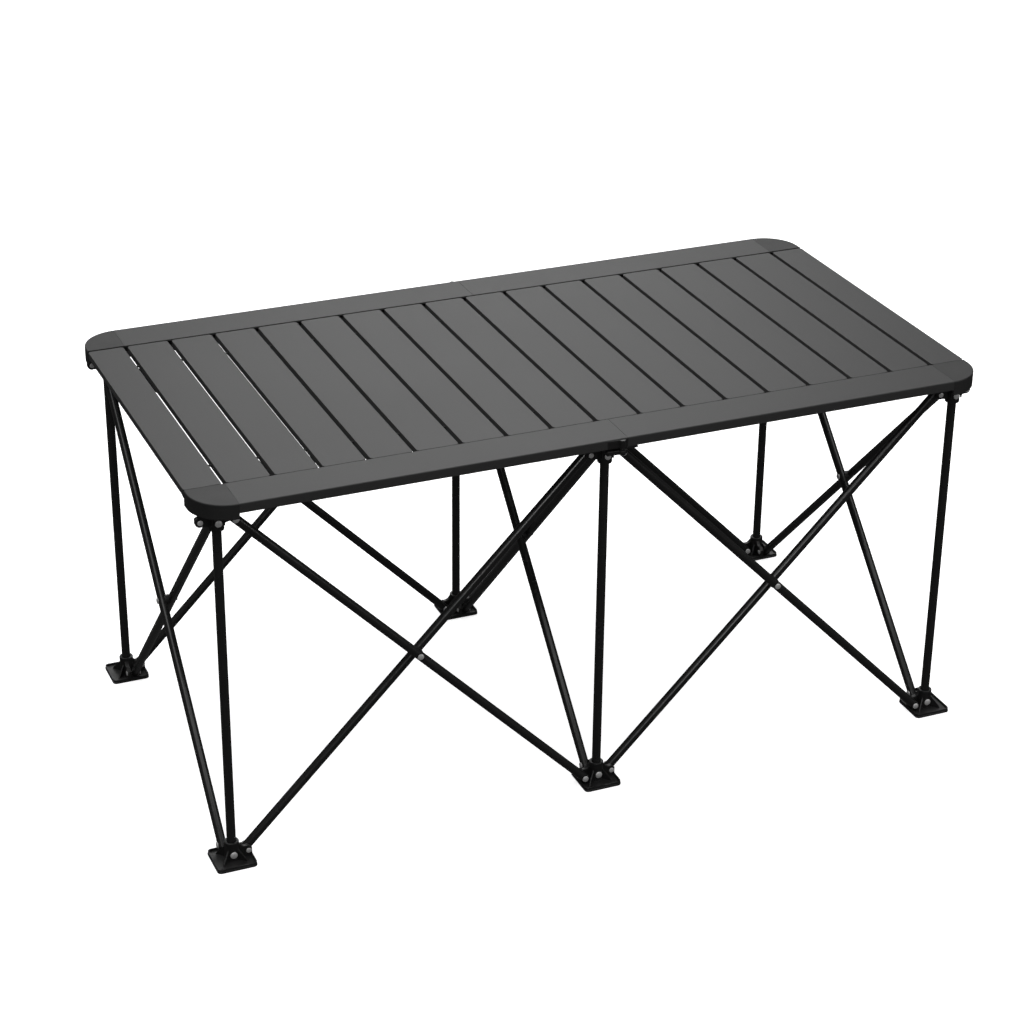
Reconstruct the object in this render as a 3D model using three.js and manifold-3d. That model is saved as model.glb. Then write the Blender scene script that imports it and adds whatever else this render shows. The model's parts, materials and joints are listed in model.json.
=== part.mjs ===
// Folding picnic table: a roll-up slatted aluminium top on a scissor frame of six legs.
// Millimetres, +Z up. The origin is on the ground, under the middle of the table.
// X runs along the table, Y across it, and the front is the -Y side.
import * as THREE from "three";
import { mergeVertices } from "three/addons/utils/BufferGeometryUtils.js";
import Module from "manifold-3d";

const wasm = await Module();
wasm.setup();

// ---- driving dimensions ----
const SLAT_COUNT = 18;
const SLAT_PITCH = 67; // from one slat to the next
const SLAT_GAP = 6;
const END_SLAT_WIDTH = 53; // the first and last slats are narrower than the others
const SLAT_THICK = 9.4;
const SLAT_WALL = 1.1;
const SLAT_LENGTH = 497;

const TABLE_DEPTH = 630; // over the two rails
const TABLE_HEIGHT = 567;
const RAIL_WIDTH = 65;
const RAIL_HEIGHT = 14;
const RAIL_WALL = 3;
const SLAT_DROP = 0.6; // how far the slats lie below the top of the rails
const LEDGE_WIDTH = 12; // how far the rail's floor reaches under the slat ends
const FLOOR_THICK = 3.6; // of the rail
const SEAM_X = 17.4; // where the two halves of a rail meet
const CORNER_HEIGHT = 22;
const CORNER_RADIUS = 55;
const TONGUE_LENGTH = 20; // of the corner cap's tongue inside the rail
const TONGUE_ROOT = 5; // and inside the cap
const TONGUE_SIDE = 4; // from the open side of the rail

const LEG_SPACING = 558; // from leg to leg, along and across the table
const TUBE_RADIUS = 6.5;
const TUBE_BORE_RADIUS = 5.8; // over the corners of a six-sided bore, as large as a round one of 5.3
const ARM_REACH = 23; // from a leg's axis to the brace pins round it
const BRACE_OFFSET = 7.25; // the two braces of a pair lie this far each side of their legs' plane
const BRACE_OVERHANG = 5; // tube beyond its end pins
const HUB_PIN_Z = 533;
const FOOT_PIN_Z = 13;
const LEG_FOOT_Z = 6.5;
const LEG_TOP_Z = 544;
const CATCH_Z = 530; // the pin at the leg's top that the hub drops over

const BOSS_RADIUS = 10.5;
const SOCKET_RADIUS = 7; // bore of a hub's and a foot's boss, round the leg
const LUG_THICK = 6;
const RIVET_RADIUS = 2.5;
const RIVET_HOLE_RADIUS = 3.1;
const RIVET_HEAD_RADIUS = 4.5;
const RIVET_HEAD_THICK = 2;
const CATCH_HEAD_RADIUS = 5;
const CLEARANCE = 0.3;
const PAST = 1; // how far a cutting tool runs past the face that it cuts

const HUB_PLATE_THICK = 5;
const HUB_ARM_REACH = 30; // from the leg's axis to the hub's edge, on a side with a brace
const HUB_SHORT_REACH = 15; // and on a side without one
const HUB_CORNER_RADIUS = 8;
const HUB_BASE_Z = 518;

const FOOT_HALF_WIDTH = 29;
const FOOT_IN = 28; // from the leg's axis to the foot's inner edge
const FOOT_OUT = 30;
const FOOT_CORNER_RADIUS = 6;
const FOOT_PLATE_THICK = 3.5;
const FOOT_TOP_Z = 32;

const HINGE_PIN_X = 9; // the rail's hinge pin stands in a knuckle beside the seam
const HINGE_PIN_RADIUS = 2;
const HINGE_KNUCKLE_RADIUS = 4.5;
const HINGE_EAR_THICK = 3;
const HINGE_EAR_END = 16; // from the seam to the ear's far end
const HINGE_BLOCK_X = -13; // where the hinge block begins; it ends at the seam
const HINGE_BLOCK_DEPTH = 14;
const HINGE_BLOCK_DROP = 10; // below the rail
const HINGE_SLOT_REACH = 9; // each side of the rail's outer face

// ---- derived positions ----
const BORE_SIDES = 12;
const TUBE_SIDES = 12;
const PIN_SIDES = 6;
const LEG_XS = [-LEG_SPACING, 0, LEG_SPACING];
const ROWS = [
  { name: "front", y: -LEG_SPACING / 2, out: -1 },
  { name: "back", y: LEG_SPACING / 2, out: 1 },
];
const COLUMN_NAMES = ["left", "middle", "right"];
const FIRST_SEAM_X = (SLAT_PITCH * (SLAT_COUNT - 2)) / 2; // the end slats begin at this gap
const HALF_LENGTH = FIRST_SEAM_X + SLAT_GAP / 2 + END_SLAT_WIDTH;
const RAIL_OUT = TABLE_DEPTH / 2;
const RAIL_IN = RAIL_OUT - RAIL_WIDTH;
const RAIL_BASE_Z = TABLE_HEIGHT - RAIL_HEIGHT;
const SLAT_TOP_Z = TABLE_HEIGHT - SLAT_DROP;
const HUB_TOP_Z = RAIL_BASE_Z - CLEARANCE;
const HINGE_PIN_Y = RAIL_OUT + 1;

const finish = (color, roughness, metalness) =>
  new THREE.MeshStandardMaterial({ color, roughness, metalness });
const SLAT_FINISH = finish(0x4b4b4d, 0.55, 0.4);
const RAIL_FINISH = finish(0x47474a, 0.55, 0.4);
const CORNER_FINISH = finish(0x424244, 0.6, 0);
const TUBE_FINISH = finish(0x121214, 0.25, 0.3);
const PLASTIC_FINISH = finish(0x0e0e0f, 0.5, 0);
const PIN_FINISH = finish(0xc8c8c8, 0.3, 1);

const table = new THREE.Group();

// ---- solids ----
// A closed geometry as a solid that can be joined and cut.
function solid(geometry) {
  const bare = geometry.clone();
  bare.deleteAttribute("normal");
  bare.deleteAttribute("uv");
  const merged = mergeVertices(bare, 1e-4);
  const mesh = new wasm.Mesh({
    numProp: 3,
    vertProperties: merged.attributes.position.array,
    triVerts: new Uint32Array(merged.index.array),
  });
  return new wasm.Manifold(mesh);
}

function add(name, shape, material) {
  const made = shape.getMesh();
  const geometry = new THREE.BufferGeometry();
  geometry.setAttribute(
    "position",
    new THREE.BufferAttribute(made.vertProperties, 3),
  );
  geometry.setIndex(new THREE.BufferAttribute(made.triVerts, 1));
  geometry.computeVertexNormals();
  const mesh = new THREE.Mesh(geometry, material);
  mesh.name = name;
  table.add(mesh);
}

const join = (...shapes) => shapes.reduce((a, b) => a.add(b));
const cut = (shape, ...tools) => tools.reduce((a, b) => a.subtract(b), shape);

function block(x0, x1, y0, y1, z0, z1) {
  const box = new THREE.BoxGeometry(x1 - x0, y1 - y0, z1 - z0);
  box.translate((x0 + x1) / 2, (y0 + y1) / 2, (z0 + z1) / 2);
  return solid(box);
}

// A round bar between two points.
function bar(radius, start, end, sides = PIN_SIDES) {
  const from = new THREE.Vector3(...start);
  const way = new THREE.Vector3(...end).sub(from);
  const rod = new THREE.CylinderGeometry(radius, radius, way.length(), sides);
  rod.translate(0, way.length() / 2, 0);
  rod.applyQuaternion(
    new THREE.Quaternion().setFromUnitVectors(
      new THREE.Vector3(0, 1, 0),
      way.clone().normalize(),
    ),
  );
  rod.translate(...from.toArray());
  return solid(rod);
}

function outline(points) {
  return new THREE.Shape(points.map(([x, y]) => new THREE.Vector2(x, y)));
}

// A flat shape drawn in X and Y, raised from z0 to z1.
function slab(shape, z0, z1) {
  const raised = new THREE.ExtrudeGeometry(shape, {
    depth: z1 - z0,
    bevelEnabled: false,
    curveSegments: 5,
  });
  raised.translate(0, 0, z0);
  return solid(raised);
}

// A section drawn across the table, as (y, z) points, run from x0 to x1.
function run(points, x0, x1) {
  const geometry = new THREE.ExtrudeGeometry(outline(points), {
    depth: x1 - x0,
    bevelEnabled: false,
  });
  geometry.rotateX(Math.PI / 2);
  geometry.rotateZ(Math.PI / 2);
  geometry.translate(x0, 0, 0);
  return solid(geometry);
}

// A plan drawn as (x, z) points, run along Y from y0 to y1.
function sideways(shape, y0, y1) {
  const geometry = new THREE.ExtrudeGeometry(shape, {
    depth: y1 - y0,
    bevelEnabled: false,
    curveSegments: 1,
  });
  geometry.rotateX(Math.PI / 2);
  geometry.translate(0, y1, 0);
  return solid(geometry);
}

function roundedRectangle(x0, x1, y0, y1, radius) {
  const shape = new THREE.Shape();
  shape.moveTo(x0 + radius, y0);
  shape.lineTo(x1 - radius, y0);
  shape.absarc(x1 - radius, y0 + radius, radius, -Math.PI / 2, 0);
  shape.lineTo(x1, y1 - radius);
  shape.absarc(x1 - radius, y1 - radius, radius, 0, Math.PI / 2);
  shape.lineTo(x0 + radius, y1);
  shape.absarc(x0 + radius, y1 - radius, radius, Math.PI / 2, Math.PI);
  shape.lineTo(x0, y0 + radius);
  shape.absarc(x0 + radius, y0 + radius, radius, Math.PI, 1.5 * Math.PI);
  return shape;
}

// ---- roll-up top: hollow slats, open at both ends ----
function slatSpan(k) {
  const first = -HALF_LENGTH;
  if (k === 0) return [first, first + END_SLAT_WIDTH];
  if (k === SLAT_COUNT - 1) return [HALF_LENGTH - END_SLAT_WIDTH, HALF_LENGTH];
  const middle = SLAT_PITCH * (k - (SLAT_COUNT - 1) / 2);
  const half = (SLAT_PITCH - SLAT_GAP) / 2;
  return [middle - half, middle + half];
}

function addSlat(k) {
  const [x0, x1] = slatSpan(k);
  const z1 = SLAT_TOP_Z;
  const z0 = z1 - SLAT_THICK;
  const section = roundedRectangle(x0, x1, z0, z1, 1.5);
  const chamber = new THREE.Path();
  const w = SLAT_WALL;
  chamber.moveTo(x0 + w, z0 + w);
  chamber.lineTo(x0 + w, z1 - w);
  chamber.lineTo(x1 - w, z1 - w);
  chamber.lineTo(x1 - w, z0 + w);
  section.holes.push(chamber);
  const slat = sideways(section, -SLAT_LENGTH / 2, SLAT_LENGTH / 2);
  add(`slat_${String(k + 1).padStart(2, "0")}`, slat, SLAT_FINISH);
}

// ---- side rails: channels open to the slats, with a floor that carries the slat ends ----
function railSection(out) {
  const top = TABLE_HEIGHT;
  const base = RAIL_BASE_Z;
  const u = [
    [RAIL_OUT, base],
    [RAIL_OUT, top],
    [RAIL_IN, top],
    [RAIL_IN, top - RAIL_WALL],
    [RAIL_OUT - RAIL_WALL, top - RAIL_WALL],
    [RAIL_OUT - RAIL_WALL, base + FLOOR_THICK],
    [RAIL_IN - LEDGE_WIDTH, base + FLOOR_THICK],
    [RAIL_IN - LEDGE_WIDTH, base],
  ];
  return u.map(([y, z]) => [y * out, z]);
}

const KNUCKLE_BASE_Z = RAIL_BASE_Z - HINGE_BLOCK_DROP;
const KNUCKLE_TOP_Z = TABLE_HEIGHT - 2;
const HINGE_HOLE_TOP_Z = KNUCKLE_TOP_Z - 2;
const EAR_Z1 = RAIL_BASE_Z - CLEARANCE;
const EAR_Z0 = EAR_Z1 - HINGE_EAR_THICK;
const SEAM_GAP = 0.4;

// A block whose y runs from a to b on the front side, or is mirrored on the back one.
function sideBlock(out, x0, x1, a, b, z0, z1) {
  return block(x0, x1, Math.min(a * out, b * out), Math.max(a * out, b * out), z0, z1);
}

// A round bar on the axis of a rail's hinge.
function hingeBar(out, radius, z0, z1) {
  return bar(radius, [HINGE_PIN_X, HINGE_PIN_Y * out, z0], [HINGE_PIN_X, HINGE_PIN_Y * out, z1]);
}

// The fixed half of a rail's hinge: a block with a slot for the other half's ear.
function hingeBlock(out) {
  const end = SEAM_X - SEAM_GAP / 2;
  const inner = RAIL_OUT - HINGE_BLOCK_DEPTH;
  const body = sideBlock(out, HINGE_BLOCK_X, end, inner, RAIL_OUT, KNUCKLE_BASE_Z, KNUCKLE_TOP_Z);
  const round = hingeBar(out, HINGE_KNUCKLE_RADIUS, KNUCKLE_BASE_Z, KNUCKLE_TOP_Z);
  const slot = sideBlock(
    out,
    HINGE_BLOCK_X - PAST,
    SEAM_X + PAST,
    RAIL_OUT - HINGE_SLOT_REACH,
    RAIL_OUT + HINGE_SLOT_REACH,
    EAR_Z0 - CLEARANCE,
    RAIL_BASE_Z,
  );
  return cut(join(body, round), slot);
}

const hingePinHole = (out) =>
  hingeBar(out, HINGE_PIN_RADIUS + 2 * CLEARANCE, KNUCKLE_BASE_Z - PAST, HINGE_HOLE_TOP_Z);

// The moving half of the hinge: a flat ear under the rail, rounded about the pin.
function hingeEar(out) {
  const side = HINGE_KNUCKLE_RADIUS - CLEARANCE;
  const end = SEAM_X + HINGE_EAR_END;
  const near = RAIL_OUT - HINGE_SLOT_REACH + 0.5;
  const arm = sideBlock(out, HINGE_PIN_X, end, near, RAIL_OUT, EAR_Z0, EAR_Z1);
  const eye = hingeBar(out, side, EAR_Z0, EAR_Z1);
  const wall = RAIL_OUT - RAIL_WALL;
  const foot = sideBlock(out, SEAM_X + 2, end, wall, RAIL_OUT, EAR_Z0, RAIL_BASE_Z + PAST);
  return join(arm, eye, foot);
}

function addRail({ name, out }) {
  const seam = SEAM_GAP / 2;
  const left = run(railSection(out), -FIRST_SEAM_X + seam, SEAM_X - seam);
  const fixed = cut(join(left, hingeBlock(out)), hingePinHole(out));
  add(`${name}_rail_left`, fixed, RAIL_FINISH);
  const right = run(railSection(out), SEAM_X + seam, FIRST_SEAM_X - seam);
  const moving = cut(join(right, hingeEar(out)), hingePinHole(out));
  add(`${name}_rail_right`, moving, RAIL_FINISH);
  const pin = hingeBar(out, HINGE_PIN_RADIUS, KNUCKLE_BASE_Z, HINGE_HOLE_TOP_Z - 0.5);
  add(`${name}_rail_pin`, pin, PIN_FINISH);
}

// ---- corner caps: quarter-round, with a deep skirt and a tongue into the rail ----
function cornerPlan(inset, inner) {
  const x0 = FIRST_SEAM_X + SEAM_GAP / 2;
  const x1 = HALF_LENGTH - inset;
  const y1 = RAIL_OUT - inset;
  const r = CORNER_RADIUS - inset;
  const shape = new THREE.Shape();
  shape.moveTo(x0, inner);
  shape.lineTo(x1, inner);
  shape.lineTo(x1, y1 - r);
  shape.absarc(x1 - r, y1 - r, r, 0, Math.PI / 2);
  shape.lineTo(x0, y1);
  return shape;
}

function cornerCap() {
  const x0 = FIRST_SEAM_X + SEAM_GAP / 2;
  const inner = RAIL_IN + SEAM_GAP / 2;
  const base = TABLE_HEIGHT - CORNER_HEIGHT;
  const under = TABLE_HEIGHT - RAIL_WALL;
  const shell = cut(
    slab(cornerPlan(0, inner), base, TABLE_HEIGHT),
    slab(cornerPlan(RAIL_WALL, inner - 1), base - 1, under),
    block(x0 - 1, x0 + 4, inner - 1, RAIL_OUT - RAIL_WALL, base - 1, under),
  );
  const floorZ = RAIL_BASE_Z + FLOOR_THICK;
  const floor = slab(cornerPlan(1, inner - LEDGE_WIDTH), RAIL_BASE_Z, floorZ);
  const tongue = block(
    x0 - TONGUE_LENGTH,
    x0 + TONGUE_ROOT,
    inner + TONGUE_SIDE,
    RAIL_OUT - RAIL_WALL - 1,
    floorZ + CLEARANCE,
    under - CLEARANCE,
  );
  const root = block(x0, x0 + TONGUE_ROOT, inner + TONGUE_SIDE, RAIL_OUT - 1, floorZ - 1, under + 1);
  return join(shell, floor, tongue, root);
}

function addCorners() {
  const cap = cornerCap();
  for (const { name, out } of ROWS) {
    for (const [side, sx] of [["left", -1], ["right", 1]]) {
      const mirrored = cap.scale([sx, out, 1]);
      add(`${name}_${side}_corner`, mirrored, CORNER_FINISH);
    }
  }
}

// ---- hubs and feet: a boss round the leg, with a lug and a rivet for each brace ----
// A lug and its rivet are drawn along +X from the leg's axis, with the brace on the side of
// +Y or -Y, and then turned to the arm's direction. Its rivet spans the brace, if it has one.
function lug(side, pinZ, profile, angle, spans = 2 * TUBE_RADIUS) {
  const faceA = side * (BRACE_OFFSET - TUBE_RADIUS - CLEARANCE);
  const faceB = faceA - side * LUG_THICK;
  const plate = sideways(
    outline(profile),
    Math.min(faceA, faceB),
    Math.max(faceA, faceB),
  );
  const headAt = side * (BRACE_OFFSET - TUBE_RADIUS + spans + CLEARANCE);
  const headEnd = headAt + side * RIVET_HEAD_THICK;
  const backEnd = faceB - side * 1.5;
  const rivet = join(
    bar(RIVET_RADIUS, [ARM_REACH, faceB, pinZ], [ARM_REACH, headEnd, pinZ]),
    bar(RIVET_HEAD_RADIUS, [ARM_REACH, headAt, pinZ], [ARM_REACH, headEnd, pinZ]),
    bar(RIVET_HEAD_RADIUS, [ARM_REACH, faceB + side, pinZ], [ARM_REACH, backEnd, pinZ]),
  );
  return join(plate, rivet).rotate([0, 0, angle]);
}

// The directions of the braces round a leg: right, left and across the table.
function armAngles(column, row) {
  const angles = [row.out < 0 ? 90 : 270];
  if (column < LEG_XS.length - 1) angles.push(0);
  if (column > 0) angles.push(180);
  return angles;
}

// The plate reaches past each lug, and stays short on the sides that have none.
function platePlan(angles, withArm, without, radius) {
  const reach = (angle) => (angles.includes(angle) ? withArm : without);
  return roundedRectangle(-reach(180), reach(0), -reach(270), reach(90), radius);
}

// A hub's lug as (distance from the leg's axis, height) points.
const HUB_LUG = [
  [SOCKET_RADIUS, HUB_BASE_Z + 4],
  [26, HUB_BASE_Z + 6],
  [HUB_ARM_REACH, HUB_BASE_Z + 11],
  [HUB_ARM_REACH, HUB_TOP_Z - HUB_PLATE_THICK + 1],
  [SOCKET_RADIUS, HUB_TOP_Z - HUB_PLATE_THICK + 1],
];

// A hub at a corner has the same rivet on its outer side too, on a lug with no brace.
const SPARE_LUG = [
  [SOCKET_RADIUS, HUB_BASE_Z + 4],
  [26, HUB_BASE_Z + 6],
  [HUB_ARM_REACH, HUB_BASE_Z + 11],
  [HUB_ARM_REACH, HUB_BASE_Z + 21],
  [24, HUB_BASE_Z + 24],
  [SOCKET_RADIUS, HUB_BASE_Z + 24],
];

function spareLugs(angles) {
  const spare = [0, 180].filter((a) => !angles.includes(a));
  return spare.map((a) => lug(-1, HUB_PIN_Z, SPARE_LUG, a, -CLEARANCE));
}

function hub(column, row) {
  const angles = armAngles(column, row);
  const plan = platePlan(angles, HUB_ARM_REACH, HUB_SHORT_REACH, HUB_CORNER_RADIUS);
  const plate = slab(plan, HUB_TOP_Z - HUB_PLATE_THICK, HUB_TOP_Z);
  const boss = bar(BOSS_RADIUS, [0, 0, HUB_BASE_Z], [0, 0, HUB_TOP_Z - 1], BORE_SIDES);
  const lugs = angles.map((a) => lug(-1, HUB_PIN_Z, HUB_LUG, a));
  const socketBase = HUB_BASE_Z - PAST;
  const socket = bar(SOCKET_RADIUS, [0, 0, socketBase], [0, 0, LEG_TOP_Z + 2], BORE_SIDES);
  const slotHalf = RIVET_RADIUS + 0.5;
  const catchSlot = sideBlock(
    row.out,
    -slotHalf,
    slotHalf,
    0,
    BOSS_RADIUS + 2,
    socketBase,
    CATCH_Z + slotHalf,
  );
  return cut(join(plate, boss, ...lugs, ...spareLugs(angles)), socket, catchSlot);
}

// A foot's lug, in the same way.
const FOOT_LUG = [
  [SOCKET_RADIUS, 2],
  [FOOT_IN, 2],
  [FOOT_IN, 18],
  [24, 23],
  [SOCKET_RADIUS, 26],
];

function foot(column, row) {
  const turn = row.out < 0 ? 0 : 180;
  const half = FOOT_HALF_WIDTH;
  const plan = roundedRectangle(-half, half, -FOOT_OUT, FOOT_IN, FOOT_CORNER_RADIUS);
  const plate = slab(plan, 0, FOOT_PLATE_THICK).rotate([0, 0, turn]);
  const boss = bar(BOSS_RADIUS, [0, 0, 1], [0, 0, FOOT_TOP_Z], BORE_SIDES);
  const lugs = armAngles(column, row).map((a) => lug(1, FOOT_PIN_Z, FOOT_LUG, a));
  const socketBase = LEG_FOOT_Z - CLEARANCE;
  const socket = bar(SOCKET_RADIUS, [0, 0, socketBase], [0, 0, FOOT_TOP_Z + PAST], BORE_SIDES);
  const legRivet = bar(
    CATCH_HEAD_RADIUS,
    [0, row.out * (BOSS_RADIUS - 1), FOOT_PIN_Z],
    [0, row.out * (BOSS_RADIUS + RIVET_HEAD_THICK), FOOT_PIN_Z],
  );
  return join(cut(join(plate, boss, ...lugs), socket), legRivet);
}

// A straight vertical tube with the catch pin near its top.
function leg(row) {
  const tube = cut(
    bar(TUBE_RADIUS, [0, 0, LEG_FOOT_Z], [0, 0, LEG_TOP_Z], TUBE_SIDES),
    bar(TUBE_BORE_RADIUS, [0, 0, LEG_FOOT_Z - PAST], [0, 0, LEG_TOP_Z + PAST]),
  );
  const wall = row.out * (TUBE_RADIUS - 0.5);
  const head = row.out * (BOSS_RADIUS + CLEARANCE);
  const catchPin = join(
    bar(RIVET_RADIUS, [0, wall, CATCH_Z], [0, head, CATCH_Z]),
    bar(CATCH_HEAD_RADIUS, [0, head, CATCH_Z], [0, head + row.out * RIVET_HEAD_THICK, CATCH_Z]),
  );
  return join(tube, catchPin);
}

function addLegs() {
  for (const row of ROWS) {
    LEG_XS.forEach((x, column) => {
      const place = (shape) => shape.translate([x, row.y, 0]);
      const label = `${row.name}_${COLUMN_NAMES[column]}`;
      add(`${label}_hub`, place(hub(column, row)), PLASTIC_FINISH);
      add(`${label}_leg`, place(leg(row)), TUBE_FINISH);
      add(`${label}_foot`, place(foot(column, row)), PLASTIC_FINISH);
    });
  }
}

// ---- braces: crossed pairs of tubes between neighbouring legs ----
// A brace lies in the plane y = side * BRACE_OFFSET of a bay that runs along X from 0 to
// LEG_SPACING. It falls to the right where side is -1, and that one carries the rivet that
// joins the pair at the crossing; the other rises to the right.
function brace(side) {
  const y = side * BRACE_OFFSET;
  const rise = HUB_PIN_Z - FOOT_PIN_Z;
  const span = LEG_SPACING - 2 * ARM_REACH;
  const length = Math.hypot(span, rise);
  const along = new THREE.Vector3(span, 0, side * rise).divideScalar(length);
  const startZ = side < 0 ? HUB_PIN_Z : FOOT_PIN_Z;
  const at = (d) => [ARM_REACH + along.x * d, y, startZ + along.z * d];
  const outer = y - TUBE_RADIUS;
  const inner = y + TUBE_RADIUS;
  const acrossAt = (radius, d, y0, y1) => {
    const [x, , z] = at(d);
    return bar(radius, [x, y0, z], [x, y1, z]);
  };
  const holeAt = (d) => acrossAt(RIVET_HOLE_RADIUS, d, outer - PAST, inner + PAST);
  const tube = cut(
    bar(TUBE_RADIUS, at(-BRACE_OVERHANG), at(length + BRACE_OVERHANG), TUBE_SIDES),
    bar(TUBE_BORE_RADIUS, at(-BRACE_OVERHANG - PAST), at(length + BRACE_OVERHANG + PAST)),
    holeAt(0),
    holeAt(length),
  );
  if (side > 0) return cut(tube, holeAt(length / 2));
  const farFace = BRACE_OFFSET + TUBE_RADIUS + CLEARANCE;
  const rivet = join(
    acrossAt(RIVET_RADIUS, length / 2, inner - 0.5, farFace + RIVET_HEAD_THICK),
    acrossAt(RIVET_HEAD_RADIUS, length / 2, outer - RIVET_HEAD_THICK, outer + 0.3),
    acrossAt(RIVET_HEAD_RADIUS, length / 2, farFace, farFace + RIVET_HEAD_THICK),
  );
  return join(tube, rivet);
}

function addBraces() {
  const falling = brace(-1);
  const rising = brace(1);
  for (const row of ROWS) {
    ["left", "right"].forEach((bay, i) => {
      const place = (shape) => shape.translate([LEG_XS[i], row.y, 0]);
      add(`${row.name}_${bay}_brace_falling`, place(falling), TUBE_FINISH);
      add(`${row.name}_${bay}_brace_rising`, place(rising), TUBE_FINISH);
    });
  }
  // Across the table the same pairs are turned to run from the back legs to the front ones.
  LEG_XS.forEach((x, column) => {
    const place = (shape) =>
      shape.rotate([0, 0, -90]).translate([x, LEG_SPACING / 2, 0]);
    const name = `cross_${COLUMN_NAMES[column]}_brace`;
    add(`${name}_falling`, place(falling), TUBE_FINISH);
    add(`${name}_rising`, place(rising), TUBE_FINISH);
  });
}

for (let k = 0; k < SLAT_COUNT; k++) addSlat(k);
ROWS.forEach(addRail);
addCorners();
addLegs();
addBraces();

export default table;
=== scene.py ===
"""Looks of the folding picnic table: slatted top, rails, corner caps and scissor frame.

Everything is in metres, +Z up, with the origin on the ground under the middle of the table.
X runs along the table and the front is the -Y side.
"""

import json
import math

import bmesh
import bpy
from mathutils import Matrix, Vector


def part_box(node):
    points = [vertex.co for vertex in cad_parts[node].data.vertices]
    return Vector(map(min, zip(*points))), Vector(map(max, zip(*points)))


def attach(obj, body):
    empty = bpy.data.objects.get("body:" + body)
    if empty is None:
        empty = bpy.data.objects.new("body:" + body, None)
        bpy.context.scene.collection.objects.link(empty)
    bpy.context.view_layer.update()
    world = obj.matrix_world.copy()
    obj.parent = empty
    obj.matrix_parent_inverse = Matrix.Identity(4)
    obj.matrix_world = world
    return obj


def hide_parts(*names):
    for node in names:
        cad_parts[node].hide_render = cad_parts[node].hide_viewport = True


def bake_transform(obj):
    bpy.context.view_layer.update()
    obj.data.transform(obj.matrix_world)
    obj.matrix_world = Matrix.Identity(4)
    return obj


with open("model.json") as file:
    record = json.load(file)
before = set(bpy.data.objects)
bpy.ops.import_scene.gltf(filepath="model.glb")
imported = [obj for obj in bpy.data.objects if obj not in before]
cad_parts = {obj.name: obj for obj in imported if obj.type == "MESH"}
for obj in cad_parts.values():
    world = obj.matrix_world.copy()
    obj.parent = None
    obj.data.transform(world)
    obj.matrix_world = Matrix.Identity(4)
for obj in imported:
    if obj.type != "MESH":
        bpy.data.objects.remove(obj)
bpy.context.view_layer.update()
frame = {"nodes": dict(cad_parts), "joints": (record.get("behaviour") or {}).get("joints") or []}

MM = 0.001
ROWS = ("front", "back")
COLUMNS = ("left", "middle", "right")
BAYS = ("left", "right")
OUT = {"front": -1, "back": 1}

JOINT_AT = {j["name"]: Vector(j["pos_m"]) for j in frame["joints"] if "pos_m" in j}

# ---- places read from the frame ----
FOOT_PIN = JOINT_AT["frame_fold"]
HUB_PIN = JOINT_AT["front_left_hub_turn"]
ROW_Y = {"front": FOOT_PIN.y, "back": -FOOT_PIN.y}
ARM_REACH = -FOOT_PIN.x
LEG_SPACING = ARM_REACH - HUB_PIN.x
COLUMN_X = {"left": -LEG_SPACING, "middle": 0.0, "right": LEG_SPACING}
HUB_PIN_Z = HUB_PIN.z
FOOT_PIN_Z = FOOT_PIN.z
RAIL_HINGE = JOINT_AT["front_rail_fold"]
SLAT_COUNT = sum(1 for name in frame["nodes"] if name.startswith("slat_"))

RAIL_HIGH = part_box("back_rail_right")[1]
TABLE_TOP_Z = RAIL_HIGH.z
RAIL_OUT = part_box("back_right_corner")[1].y
TABLE_END_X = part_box("back_right_corner")[1].x
SKIRT_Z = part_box("back_right_corner")[0].z
CORNER_SEAM_X = RAIL_HIGH.x
RAIL_SEAM_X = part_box("back_rail_left")[1].x

# ---- thicknesses and small sizes ----
RAIL_WIDTH = 65 * MM
RAIL_HEIGHT = 14 * MM
RAIL_WALL = 3 * MM
RAIL_IN = RAIL_OUT - RAIL_WIDTH
RAIL_BASE_Z = TABLE_TOP_Z - RAIL_HEIGHT
LEDGE_WIDTH = 12 * MM
FLOOR_THICK = 3.6 * MM
SEAM_GAP = 0.5 * MM
CORNER_RADIUS = 55 * MM
TUBE_RADIUS = 6.5 * MM
TUBE_BORE = 5.4 * MM
TUBE_SIDES = 48
BRACE_OFFSET = 7.25 * MM
BRACE_OVERHANG = 5 * MM
CLEARANCE = 0.3 * MM
SOCKET_RADIUS = 7 * MM
BOSS_RADIUS = 10.5 * MM
LUG_THICK = 6 * MM
RIVET_RADIUS = 2.5 * MM
RIVET_HEAD_RADIUS = 4.6 * MM
RIVET_HEAD_THICK = 2.2 * MM
RIVET_TAIL_RADIUS = RIVET_HEAD_RADIUS * 0.85
RIVET_TAIL_THICK = 1.4 * MM
SINK = 0.2 * MM  # how far a rivet's head is sunk in the face that it bears on
SAME = 1e-6  # two places this close are one place
SQUARE = 60  # degrees: an edge that turns more than this is a square edge


# ---- camera ----
CAMERA_AT = (-1.365, -3.162, 2.027)
CAMERA_RIGHT = (0.92193264, -0.38724025, 0.00923039)
CAMERA_AHEAD = (0.35037406, 0.82352816, -0.4461383)
CAMERA_LENS = 89.56
CAMERA_SENSOR = 36
CAMERA_REACH = 100


def place_camera():
    """A long lens at standing height, in front of the table and to its left."""
    data = bpy.data.cameras.new("camera")
    data.lens = CAMERA_LENS
    data.sensor_width = CAMERA_SENSOR
    data.clip_end = CAMERA_REACH
    camera = bpy.data.objects.new("camera", data)
    bpy.context.scene.collection.objects.link(camera)
    right = Vector(CAMERA_RIGHT).normalized()
    ahead = Vector(CAMERA_AHEAD).normalized()
    up = right.cross(ahead).normalized()
    turned = Matrix((right, up, -ahead)).transposed()
    camera.matrix_world = Matrix.Translation(CAMERA_AT) @ turned.to_4x4()
    bpy.context.scene.camera = camera


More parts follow.
